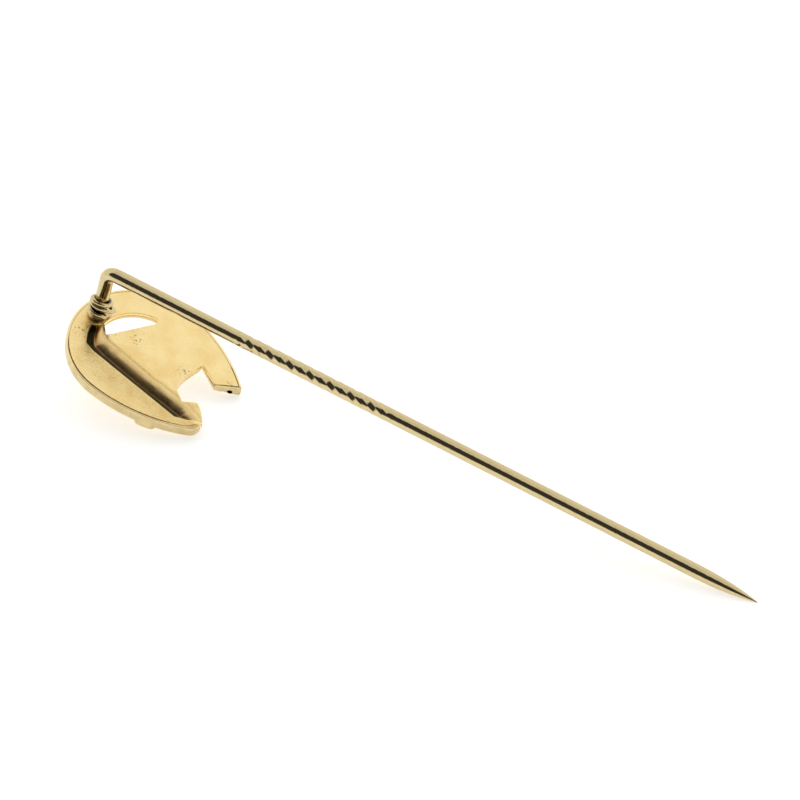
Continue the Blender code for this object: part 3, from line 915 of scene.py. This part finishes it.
def wire_gold():
    """The wire: paler gold, polished, with faint lines from drawing, and painted shade, near black, on the
    post and the inner side of the coil's turns.
    """
    pale, deep, crevice_shade = (0.69, 0.58, 0.33), (0.61, 0.49, 0.26), (0.05, 0.035, 0.015)
    metal = Metal("wire_gold", (0.84, 0.71, 0.45), 0.1)
    lines = metal.noise(2.0, 4, 0.6, metal.stretched((0.25, 6.0, 6.0), (0, 7, -7.4)))
    colour = metal.mix(metal.spread(lines, 0.3, 0.7), pale, deep)
    # Painted shade: the post and the inner side of the coil's turns, up to the coil's top, are painted near
    # black.
    in_coil = metal.spread(metal.height(), 2.05, 2.25, 1, 0)
    coil_shade_mask = metal.maths("MULTIPLY", in_coil, metal.beside_post(0.72, 0.92))
    metal.colour_with(metal.mix(coil_shade_mask, colour, crevice_shade))
    metal.roughen_with(lines, 0.06, 0.16)
    metal.add_bump(lines, 0.003)
    metal.add_bump(metal.noise(0.7, 2), 0.006)
    return metal.material


def solder():
    """The solder: greyer and duller than the sheet."""
    pale, deep = (0.88, 0.68, 0.36), (0.7, 0.5, 0.24)
    metal = Metal("solder", (0.8, 0.62, 0.34), 0.32)
    metal.colour_with(metal.mix(metal.spread(metal.noise(3.0, 4), 0.35, 0.7), pale, deep))
    metal.roughen_with(metal.noise(5.0, 3), 0.25, 0.45)
    metal.add_bump(metal.noise(4.0, 3), 0.02)
    return metal.material


# The studio


def direction_to(azimuth, elevation):
    """The direction of a place at that azimuth, from -Y towards +X, and elevation, in degrees."""
    a, e = math.radians(azimuth), math.radians(elevation)
    return Vector((math.sin(a) * math.cos(e), -math.cos(a) * math.cos(e), math.sin(e)))


def camera():
    """A long lens that looks down at the head's back from the front and right."""
    towards = direction_to(CAMERA_AZIMUTH, CAMERA_ELEVATION)
    level = direction_to(CAMERA_AZIMUTH + 90, 0)
    upright = towards.cross(level)
    roll = math.radians(CAMERA_ROLL)
    right = level * math.cos(roll) + upright * math.sin(roll)
    up = towards.cross(right)
    middle = (Vector(CAD_BOX[0]) + Vector(CAD_BOX[1])) / 2
    aim = middle + (right * AIM_RIGHT + up * AIM_UP) * MM
    lens = bpy.data.cameras.new("camera")
    lens.lens = CAMERA_LENS
    lens.clip_start, lens.clip_end = 0.01, 20
    made = new_object("camera", lens)
    turn = Matrix((right, up, towards)).transposed().to_4x4()
    made.matrix_world = Matrix.Translation(aim + towards * CAMERA_DISTANCE) @ turn
    bpy.context.scene.camera = made


def table():
    """A plain white table, lit from within a little, as a light table is."""
    shape = bmesh.new()
    bmesh.ops.create_grid(shape, x_segments=1, y_segments=1, size=TABLE_SIZE)
    made = mesh_object("table", shape)
    white = bpy.data.materials.new("white_table")
    white.use_nodes = True
    shader = white.node_tree.nodes["Principled BSDF"].inputs
    shader["Base Color"].default_value = TABLE_COLOUR
    shader["Roughness"].default_value = 0.9
    shader["Specular IOR Level"].default_value = 0
    shader["Emission Color"].default_value = (1, 1, 1, 1)
    shader["Emission Strength"].default_value = TABLE_GLOW
    made.data.materials.append(white)


def light_tent():
    """A bright tent all round, with a dark opening at the side that the photographer works from."""
    world = bpy.data.worlds.new("light_tent")
    world.use_nodes = True
    bpy.context.scene.world = world
    nodes = Nodes(world.node_tree)
    seen = nodes.add("TexCoord").outputs["Generated"]

    def facing(direction):
        """The cosine between a direction and the one that is looked in."""
        return nodes.vector_maths("DOT_PRODUCT", seen, direction)["Value"]

    outer = math.cos(math.radians(DARK_REACH + DARK_SOFTNESS))
    inner = math.cos(math.radians(DARK_REACH - DARK_SOFTNESS))
    opening = 0
    for azimuth in DARK_AZIMUTHS:
        dark_circle = nodes.spread(facing(direction_to(azimuth, DARK_ELEVATION)), outer, inner)
        opening = nodes.maths("MAXIMUM", dark_circle, opening)
    upwards = facing((0, 0, 1))
    dark = nodes.maths("MULTIPLY", opening, nodes.spread(upwards, 0.10, 0.16))
    top = nodes.spread(upwards, 0.75, 1.0, 1.0, TENT_TOP_STRENGTH)
    strength = nodes.maths("MULTIPLY", top, nodes.spread(dark, 0, 1, 1.0, DARK_STRENGTH))
    background = world.node_tree.nodes["Background"].inputs
    background["Color"].default_value = TENT_COLOUR
    nodes.feed(background["Strength"], strength)


def main():
    bpy.context.scene.view_settings.view_transform = "Standard"
    camera()
    table()
    light_tent()
    polished = polished_gold()
    wire = wire_gold()
    finish_piece(back_plate(), satin_gold(), "back_plate")
    finish_piece(horseshoe_front(), polished, "horseshoe_front")
    finish_piece(horse_head(), polished, "horse_head")
    finish_piece(groove_web(), tarnished_gold(), "groove_web", sharp_angle=60)
    finish_piece(pin_wire(), wire, "pin_wire")
    finish_piece(coil_collar(), wire, "coil_collar")
    finish_piece(solder_ring(), solder(), "solder_ring", sharp_angle=60)


main()

bpy.context.view_layer.update()
